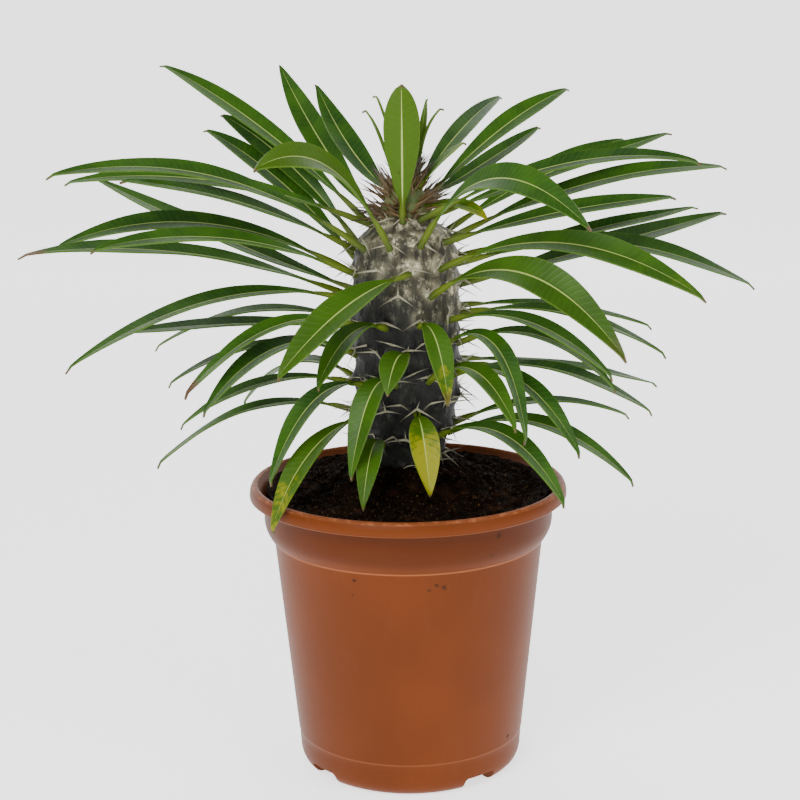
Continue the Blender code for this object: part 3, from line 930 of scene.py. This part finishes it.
def bark_material(settings):
    """Pale skin that darkens towards the soil, with cracks and streaks, painted shade in the grooves
    between the tubercles, painted highlights on the tubercles and painted light on the +X side.
    """
    material, shader, place = new_material("stem_skin")
    x, _, z = place.parts()
    centre = read_attribute(place, "centre")
    broad = place.scaled(1, 1, 0.6).noise(75, 4, 0.6)
    middle = place.scaled(1, 1, 0.45).noise(190, 5, 0.62)
    fine = place.scaled(1, 1, 0.6).noise(620, 4, 0.6)
    cracks = place.node(
        "ShaderNodeTexVoronoi",
        {"Vector": place.scaled(1, 1, 0.45), "Scale": 170},
        output="Distance",
        feature="DISTANCE_TO_EDGE",
    )
    # Pale young skin towards the top and dark old skin towards the soil; the pale reaches further down
    # on the +X side as painted light on that side.
    age_and_side_light = (z + (broad - 0.5) * 0.06 + x * 0.6).ramp(238 * MM, 286 * MM)
    light = middle.ramp(0.34, 0.62).mix(toned(settings.bark_light, 0.3), rgb(settings.bark_light))
    dark = middle.ramp(0.36, 0.68).mix(toned(settings.bark_dark, 0.3), toned(settings.bark_dark, 1.9))
    colour = age_and_side_light.mix(dark, light)
    # Painted shade in the grooves between the tubercles, darkest farthest from their centres.
    groove_shade = centre.ramp(0.06, 0.5, 0.72, 0)
    colour = groove_shade.mix(colour, rgb(BARK_GROOVE_SHADE))
    lines = cracks.ramp(0.01, 0.06, 0.5, 0) * middle.ramp(0.45, 0.6)
    colour = lines.mix(colour, rgb(BARK_CRACK))
    streaks = place.scaled(1, 1, 0.14).noise(240, 4, 0.6).ramp(0.5, 0.62) * 0.65
    colour = streaks.mix(colour, rgb(BARK_STREAK))
    # Painted highlights: pale spots on the tubercles' tops, mostly on the young upper skin.
    patches = place.scaled(1, 1, 0.7).noise(230, 5, 0.72).ramp(0.53, 0.63)
    pale = patches * centre.ramp(0.1, 0.6, 0.3, 0.95) * (age_and_side_light * 0.9 + 0.08)
    colour = pale.mix(colour, rgb(BARK_HIGHLIGHT))
    connect(shader, "Base Color", colour)
    connect(shader, "Roughness", middle.ramp(0.3, 0.7, 0.62, 0.42))
    connect(shader, "Specular IOR Level", 0.1)
    relief = middle + broad + fine * 0.25 + cracks.ramp(0, 0.08) * 0.12
    connect(shader, "Normal", relief.bump(0.7, 1.1 * MM))
    return material


def spine_template(radius):
    """A tapering spine one unit long along +Z, slightly bent towards +X."""
    deselect()
    bpy.ops.mesh.primitive_cone_add(
        vertices=6, radius1=radius, radius2=0.004, depth=1, location=(0, 0, 0.5)
    )
    made = bpy.context.object
    bpy.ops.object.transform_apply()
    bpy.ops.object.mode_set(mode="EDIT")
    for level in (0.3, 0.62):
        bpy.ops.mesh.select_all(action="SELECT")
        bpy.ops.mesh.bisect(plane_co=(0, 0, level), plane_no=(0, 0, 1))
    bpy.ops.object.mode_set(mode="OBJECT")
    for vertex in made.data.vertices:
        share = max(vertex.co.z, 0)
        vertex.co.x += 0.07 * share * share
        swell = 1 + 0.35 * (1 - smooth_step(share, 0, 0.25))
        vertex.co.x *= swell
        vertex.co.y *= swell
    return made


def spine_material(name, root, tip):
    """Spines whose colour changes from root to tip. The share along a spine is stored on the mesh."""
    material, shader, place = new_material(name)
    along = read_attribute(place, "along")
    grain = place.noise(700, 3)
    colour = (along + (grain - 0.5) * 0.4).ramp(0.25, 0.95).mix(rgb(root), rgb(tip))
    connect(shader, "Base Color", colour)
    connect(shader, "Roughness", grain.ramp(0.3, 0.7, 0.55, 0.4))
    return material


def spine_direction(azimuth, swing, lift):
    flat = outward(azimuth + swing)
    angle = math.radians(lift)
    return flat * math.cos(angle) + Vector((0, 0, math.sin(angle)))


def place_spines(name, spines, material, radius):
    """Puts the spines, each a root, a direction and a length, in one piece."""
    template = spine_template(radius)
    count = len(template.data.vertices)
    along = [vertex.co.z for vertex in template.data.vertices]
    maker = bmesh.new()
    for root, direction, length in spines:
        down = Vector((0, 0, -1)) - direction * -direction.z
        side = down.normalized() if down.length > 0.1 else direction.orthogonal().normalized()
        basis = Matrix((side, direction.cross(side), direction)).transposed().to_4x4()
        add_copy(maker, template.data, Matrix.Translation(root) @ basis @ Matrix.Scale(length, 4))
    bpy.data.objects.remove(template, do_unlink=True)
    made = object_from(maker, name)
    add_attribute(made, "along", along * (len(made.data.vertices) // count))
    finish_piece(made, "bark", material, smooth=60)
    return made


def spine_root(azimuth, height):
    """A point just under the stem's skin."""
    return at(azimuth, stem_surface(azimuth, height) - SPINE_SINK, height)


class BuildStem(bpy.types.Operator):
    """Builds the stem with its spiral of tubercles and its spines"""

    bl_idname = "palm.build_stem"
    bl_label = "Build the stem"

    def execute(self, context):
        settings = context.scene.palm_plant
        self.build_skin(settings)
        draw = random.Random(SEED)
        spines = self.tubercle_spines(settings, draw) + self.old_spines(settings, draw)
        material = spine_material("spines", SPINE_ROOT, SPINE_TIP)
        place_spines("stem_spines", spines, material, 0.04)
        return {"FINISHED"}

    def build_skin(self, settings):
        def place(across, along):
            row = round(along * (STEM_ROWS + 2))
            azimuth = 360 * across
            if row in (0, STEM_ROWS + 2):
                return Vector((0, 0, STEM_FOOT if row == 0 else STEM_TOP))
            height = STEM_FOOT + (STEM_TOP - STEM_FOOT) * (row - 1) / STEM_ROWS
            surface = stem_surface(azimuth, height)
            rough = noise.fractal(at(azimuth, surface, height) * 130, 0.7, 2, 4) * 0.35 * MM
            skin = rough * smooth_step(height, 168 * MM, 176 * MM)
            return at(azimuth, surface + skin, height)

        stem = close_round(new_grid("stem", STEM_AROUND, STEM_ROWS + 2, place))
        centres = []
        for vertex in stem.data.vertices:
            azimuth = math.degrees(math.atan2(vertex.co.x, -vertex.co.y))
            centres.append(stem_bulge(azimuth, vertex.co.z)[1])
        add_attribute(stem, "centre", centres)
        finish_piece(stem, "bark", bark_material(settings), nodes=("trunk",), smooth=60)

    def tubercle_spines(self, settings, draw):
        """A fan of three spines on each tubercle that stands above the soil."""
        spines = []
        for azimuth, height in PLACES[:TUBERCLES]:
            if height < SOIL_MOUND_HEIGHT:
                continue
            root = spine_root(azimuth, height)
            for swing, lift, share in SPINE_FAN:
                swing += draw.uniform(-10, 10)
                lift += draw.uniform(-18, 18)
                length = settings.spine_length * share * draw.uniform(0.85, 1.12)
                spines.append((root, spine_direction(azimuth, swing, lift), length))
        return spines

    def old_spines(self, settings, draw):
        """More spines between the oldest tubercles, near the soil."""
        spines = []
        for azimuth, height in PLACES[:OLD_TUBERCLES]:
            azimuth += TUBERCLE_TURN * 0.5
            height += draw.uniform(1, 4) * MM
            root = spine_root(azimuth, height)
            for swing in OLD_SWINGS:
                swing += draw.uniform(-14, 14)
                direction = spine_direction(azimuth, swing, draw.uniform(-25, 30))
                spines.append((root, direction, settings.spine_length * draw.uniform(0.5, 0.9)))
        return spines


# The leaves


def leaf_path(start, row):
    """Start, bend and tip of the midrib's curve."""
    heading, middle_out, middle_up, tip_out, tip_up = row[1:6]
    reach = outward(heading)
    rise = Vector((0, 0, 1))
    tip = start + (reach * tip_out + rise * tip_up) * MM
    middle = start + (reach * middle_out + rise * middle_up) * MM
    return start, 2 * middle - 0.5 * (start + tip), tip


def leaf_turn(number, heading):
    """How far a leaf is turned about its length: the higher ones lean more towards the front."""
    tilt = LEAF_TILT_LOW + (LEAF_TILT_HIGH - LEAF_TILT_LOW) * smooth_step(number, *TILT_CHANGES)
    return math.radians(LEAF_TURNS.get(number, -tilt * math.sin(math.radians(heading))))


def blade_half_width(u, width, number):
    """Narrow stalk, then a long blade that is widest a little past its middle."""
    if u <= PETIOLE_END:
        return PETIOLE_HALF_WIDTH
    share = (u - PETIOLE_END) / (1 - PETIOLE_END)
    lean, fullness = BLUNT_FORM if number == BLUNT_LEAF else BLADE_FORM
    full = 0.5 * width * math.sin(math.pi * share**lean) ** fullness if share < 1 else 0
    return max(full, TIP_HALF_WIDTH, PETIOLE_HALF_WIDTH * (1 - 3 * share))


def add_leaf_attributes(leaf, tone, length, seed):
    """Stores the leaf's tones, its length and a random number for its material to read."""
    values = dict(zip(TONE_NAMES, tone), length=length / LENGTH_UNIT, seed=seed)
    for name, value in values.items():
        add_attribute(leaf, name, [value] * len(leaf.data.vertices))


def build_leaf(name, start, row, tone, materials, nodes, draw):
    """A leaf with a rolled stalk that opens into a shallow V, a midrib and a slightly wavy edge."""
    number, heading = row[:2]
    width = row[-1] * MM
    start, bend, tip = leaf_path(start, row)
    sideways = outward(heading).cross(Vector((0, 0, 1)))
    tilt = leaf_turn(number, heading)
    wave = draw.uniform(0.15, 0.5) * MM
    phase = draw.uniform(0, 6.28)
    twist = math.radians(draw.uniform(-7, 7))
    length = (bend - start).length * 0.5 + (tip - bend).length * 0.5 + (tip - start).length * 0.1

    def place(across, u):
        s = 2 * across - 1
        point = start * (1 - u) ** 2 + bend * 2 * u * (1 - u) + tip * u**2
        forward = ((bend - start) * (1 - u) + (tip - bend) * u).normalized()
        turned = tilt * smooth_step(u, 0, 0.3) + twist * smooth_step(u, 0.3, 1)
        side = sideways * math.cos(turned) + sideways.cross(forward) * math.sin(turned)
        upper = side.cross(forward)
        half = blade_half_width(u, width, number)
        opened = smooth_step(u, PETIOLE_END * 0.5, BLADE_OPEN)
        roll = s * math.radians(PETIOLE_ROLL)
        rolled_x = PETIOLE_HALF_WIDTH * math.sin(roll)
        rolled_z = -PETIOLE_HALF_WIDTH * math.cos(roll)
        fold = math.radians(LEAF_FOLD) * (1 - 0.35 * smooth_step(u, 0.5, 1))
        rib = RIB_RELIEF * math.exp(-((s * half / RIB_SPREAD) ** 2)) * (1 - 0.7 * u)
        shift = phase + (1.4 if s > 0 else 0)
        ripple = wave * abs(s) ** 1.5 * math.sin(u * length / RIPPLE_LENGTH + shift)
        flat_x = s * half * math.cos(fold)
        flat_z = abs(s) ** 1.25 * half * math.sin(fold) - rib + ripple * opened
        x = rolled_x * (1 - opened) + flat_x * opened
        z = rolled_z * (1 - opened) + flat_z * opened - TIP_HOOK * smooth_step(u, TIP_START, 1)
        return point + side * x + upper * z

    leaf = new_grid(name, LEAF_ACROSS, LEAF_ALONG, place)
    apply_modifier(
        leaf, "SOLIDIFY", thickness=LEAF_THICKNESS, offset=0, material_offset=1, material_offset_rim=0
    )
    add_leaf_attributes(leaf, tone, length, draw.random())
    finish_piece(leaf, "leaf_green", *materials, nodes=nodes, smooth=70)


def leaf_material(settings, under):
    """Green with a cream midrib, slanting side veins and a yellow-green stalk."""
    material, shader, place = new_material("leaf_underside" if under else "leaf_upper")
    chart = place.node("ShaderNodeUVMap", uv_map="UVMap")
    across, along, _ = chart.parts()
    aside = (across - 0.5).maths("ABSOLUTE") * 2
    length = read_attribute(place, "length")
    yellow = read_attribute(place, "yellow")
    brown = read_attribute(place, "brown_tip")
    seed = read_attribute(place, "seed")
    fresh = read_attribute(place, "fresh")
    broad = place.noise(55, 3)
    fine = place.noise(900, 3)
    red, green, blue = settings.leaf_under if under else settings.leaf_green
    dark = rgb((red * 0.5, green * 0.56, blue * 0.9))
    light = rgb((red * 1.5, green * 1.22, blue * 0.9))
    vein_tone = rgb((red * 2.4, green * 1.9, blue * 2.2))
    colour = (broad.ramp(0.35, 0.65) * 0.6 + seed * 0.4).mix(dark, light)
    colour = (fresh * 0.8).mix(colour, rgb(FRESH_UNDER if under else FRESH_UPPER))
    flow = along * length * 44 - aside * 1.1 + (broad - 0.5) * 1.2
    vein = (flow.maths("FRACT") - 0.5).maths("ABSOLUTE").ramp(0.03, 0.22, 1, 0)
    blade = along.ramp(PETIOLE_END * 0.9, 0.2)
    colour = (vein * blade * (0.16 if under else 0.15)).mix(colour, vein_tone)
    patches = place.noise(170, 4, 0.65)
    front = along + (broad - 0.5) * 0.3 + (patches - 0.5) * 0.9 - vein * 0.1 + yellow * 0.62
    turning = (yellow * 5).maths("MINIMUM", 1) * front.ramp(0.88, 1.2)
    colour = turning.mix(colour, rgb(LEAF_YELLOW))
    rim = aside.ramp(0.93, 0.985) * blade * 0.2
    colour = rim.mix(colour, rgb(LEAF_EDGE))
    rib_width = along.ramp(0.1, 0.95, 0.1, 0.03)
    rib = (aside / rib_width).ramp(0.45, 1.0, 1, 0) * along.ramp(0.94, 0.99, 1, 0)
    colour = (rib * blade * 0.9).mix(colour, rgb(RIB_UNDER if under else RIB_UPPER))
    stalk = along.ramp(0, 0.07, 0.75, 0).mix(rgb(STALK_GREEN), rgb(STALK_FOOT))
    colour = blade.mix(stalk, colour)
    burnt = brown * (along + (fine - 0.5) * 0.06).ramp(0.9, 0.95)
    colour = burnt.mix(colour, rgb(BURNT_TIP))
    colour = along.ramp(0.978, 0.992).mix(colour, rgb(DRY_TIP))
    connect(shader, "Base Color", colour)
    connect(shader, "Roughness", fine.ramp(0.3, 0.7, 0.36, 0.5) + (0.12 if under else 0))
    connect(shader, "Specular IOR Level", 0.19)
    relief = vein * blade * 0.5 + fine * 0.15 + broad * 0.3
    connect(shader, "Normal", relief.bump(0.22, 0.5 * MM))
    return material


def leaf_seat(number):
    """Where a leaf's stalk meets the stem, just below its tubercle."""
    azimuth, height = PLACES[number]
    height -= LEAF_BELOW_TUBERCLE
    return at(azimuth, stem_surface(azimuth, height) - LEAF_SINK, height)


def bud_seat(number):
    """Where a young leaf starts inside the bud."""
    azimuth, height = PLACES[number]
    return at(azimuth, BUD_SEAT_RADIUS, max(height, BUD_SEAT_LOWEST))


def leaf_materials(settings):
    """The leaves' two materials, made once and then found by name."""
    names = ("leaf_upper", "leaf_underside")
    if all(name in bpy.data.materials for name in names):
        return [bpy.data.materials[name] for name in names]
    return [leaf_material(settings, False), leaf_material(settings, True)]


class BuildLeaves(bpy.types.Operator):
    """Builds every stem leaf at its tubercle"""

    bl_idname = "palm.build_leaves"
    bl_label = "Build the leaves"

    def execute(self, context):
        materials = leaf_materials(context.scene.palm_plant)
        draw = random.Random(SEED + 2)
        for i, row in enumerate(LEAVES, 1):
            name = f"leaf_{i:02d}"
            tone = LEAF_TONES.get(i, (0, 0, 0))
            build_leaf(f"palm_{name}", leaf_seat(row[0]), row, tone, materials, (name,), draw)
        return {"FINISHED"}


def bud_material():
    material, shader, place = new_material("bud_skin")
    blend = place.noise(350, 4).ramp(0.35, 0.65)
    connect(shader, "Base Color", blend.mix(rgb(BUD_GREEN), rgb(BUD_BROWN)))
    connect(shader, "Roughness", blend.ramp(0, 1, 0.5, 0.7))
    connect(shader, "Normal", blend.bump(0.4, 0.6 * MM))
    return material


class BuildCrown(bpy.types.Operator):
    """Builds the bud with its youngest leaves and dark young spines"""

    bl_idname = "palm.build_crown"
    bl_label = "Build the crown"

    def execute(self, context):
        settings = context.scene.palm_plant
        draw = random.Random(SEED + 3)
        self.build_bud()
        materials = leaf_materials(settings)
        for i, row in enumerate(CROWN_LEAVES, 1):
            tone = CROWN_TONES.get(i, (0, 0, 0))
            build_leaf(f"young_leaf_{i}", bud_seat(row[0]), row, tone, materials, (), draw)
        material = spine_material("young_spines", YOUNG_SPINE_ROOT, YOUNG_SPINE_TIP)
        place_spines("crown_spines", self.young_spines(settings, draw), material, 0.047)
        return {"FINISHED"}

    def build_bud(self):
        foot = STEM_TOP + 0.2 * MM

        def place(across, along):
            row = round(along * BUD_ROWS)
            if row == 0:
                return Vector((0, 0, foot))
            height = foot + (BUD_TOP - foot) * (row - 1) / (BUD_ROWS - 1)
            if row == BUD_ROWS:
                return Vector((0, 0, height))
            azimuth = 360 * across
            lobes = 1 + 0.05 * math.sin(math.radians(azimuth * 5))
            return at(azimuth, stem_radius(height) * lobes, height)

        bud = close_round(new_grid("bud", BUD_AROUND, BUD_ROWS, place))
        finish_piece(bud, "leaf_green", bud_material(), nodes=("crown",), smooth=60)

    def young_spines(self, settings, draw):
        """A dense ring of spines round the bud, steeper towards its top."""
        spines = []
        for number in CROWN_SPINE_PLACES:
            azimuth, height = PLACES[number]
            for _ in range(CROWN_SPINES_EACH):
                turned = azimuth + draw.uniform(-24, 24)
                level = height + draw.uniform(-1, 7) * MM
                base = max(stem_radius(level) - SPINE_SINK, 3 * MM)
                root = at(turned, base, min(level, BUD_TOP - 2 * MM))
                lift = draw.uniform(0, 30) + 38 * smooth_step(level, 297 * MM, 316 * MM)
                direction = spine_direction(turned, draw.uniform(-55, 55), lift)
                spines.append((root, direction, settings.spine_length * draw.uniform(0.65, 1.2)))
        return spines


# The stage


def sweep_place(across, along):
    """A flat floor that turns up into a wall behind the object."""
    run = along * (SWEEP_DEPTH + SWEEP_HEIGHT)
    turn = SWEEP_RADIUS * math.pi / 2
    flat = SWEEP_DEPTH - SWEEP_RADIUS
    if run < flat:
        back, height = run, 0
    elif run < flat + turn:
        angle = (run - flat) / SWEEP_RADIUS
        back = flat + SWEEP_RADIUS * math.sin(angle)
        height = SWEEP_RADIUS * (1 - math.cos(angle))
    else:
        back, height = SWEEP_DEPTH, run - flat - turn + SWEEP_RADIUS
    return Vector(((across - 0.5) * SWEEP_WIDTH, back - SWEEP_FRONT, height))


def floor_material(settings):
    material, shader, place = new_material("white_floor")
    darker, paler = FLOOR_WHITES
    connect(shader, "Base Color", place.noise(3, 2).ramp(0, 1).mix(rgb(darker), rgb(paler)))
    connect(shader, "Roughness", 0.9)
    connect(shader, "Emission Color", (1, 1, 1, 1))
    connect(shader, "Emission Strength", settings.floor_glow)
    return material


class BuildStage(bpy.types.Operator):
    """Adds the white floor and surround, the softboxes and the camera"""

    bl_idname = "palm.build_stage"
    bl_label = "Build the stage"

    def execute(self, context):
        settings = context.scene.palm_stage
        floor = new_grid("floor", 2, 160, sweep_place)
        bpy.ops.object.shade_smooth()
        floor.data.materials.append(floor_material(settings))
        self.add_surround(context.scene, settings.white)
        for name, place, size, share in SOFTBOXES:
            self.add_softbox(context.scene, name, place, size, settings.key_power * share)
        self.add_camera(context.scene)
        return {"FINISHED"}

    def add_surround(self, scene, strength):
        world = bpy.data.worlds.new("surround")
        world.use_nodes = True
        background = world.node_tree.nodes["Background"]
        background.inputs["Color"].default_value = (1, 1, 1, 1)
        background.inputs["Strength"].default_value = strength
        scene.world = world

    def add_softbox(self, scene, name, place, size, power):
        light = bpy.data.lights.new(name, "AREA")
        light.size = size
        light.energy = power
        made = bpy.data.objects.new(name, light)
        made.location = place
        aim = Vector(LIGHT_AIM) - Vector(place)
        made.rotation_euler = aim.to_track_quat("-Z", "Y").to_euler()
        scene.collection.objects.link(made)

    def add_camera(self, scene):
        camera = bpy.data.cameras.new("camera")
        camera.lens = CAMERA_LENS
        camera.sensor_width = SENSOR_WIDTH
        made = bpy.data.objects.new("camera", camera)
        scene.collection.objects.link(made)
        tilt = Matrix.Rotation(math.radians(90 - CAMERA_PITCH), 4, "X")
        roll = Matrix.Rotation(math.radians(CAMERA_ROLL), 4, "Z")
        made.matrix_world = Matrix.Translation(CAMERA_PLACE) @ tilt @ roll
        scene.camera = made


class PalmPanel(bpy.types.Panel):
    """Lists the settings and the steps that build the potted palm"""

    bl_idname = "PALM_PT_build"
    bl_label = "Potted palm"
    bl_space_type = "VIEW_3D"
    bl_region_type = "UI"
    bl_category = "Palm"

    def draw(self, context):
        for group in (context.scene.palm_pot, context.scene.palm_plant, context.scene.palm_stage):
            for name in group.__annotations__:
                self.layout.prop(group, name)
        for operator in OPERATORS:
            self.layout.operator(operator.bl_idname)


OPERATORS = (BuildPot, BuildSoil, BuildStem, BuildLeaves, BuildCrown, BuildStage)
GROUPS = {"palm_pot": PotSettings, "palm_plant": PlantSettings, "palm_stage": StageSettings}


def register():
    for made in (*GROUPS.values(), *OPERATORS, PalmPanel):
        bpy.utils.register_class(made)
    for name, group in GROUPS.items():
        setattr(bpy.types.Scene, name, bpy.props.PointerProperty(type=group))


def unregister():
    for name in GROUPS:
        delattr(bpy.types.Scene, name)
    for made in reversed((*GROUPS.values(), *OPERATORS, PalmPanel)):
        bpy.utils.unregister_class(made)


def main():
    register()
    bpy.ops.palm.build_pot()
    bpy.ops.palm.build_soil()
    bpy.ops.palm.build_stem()
    bpy.ops.palm.build_leaves()
    bpy.ops.palm.build_crown()
    bpy.ops.palm.build_stage()


if __name__ == "__main__":
    main()
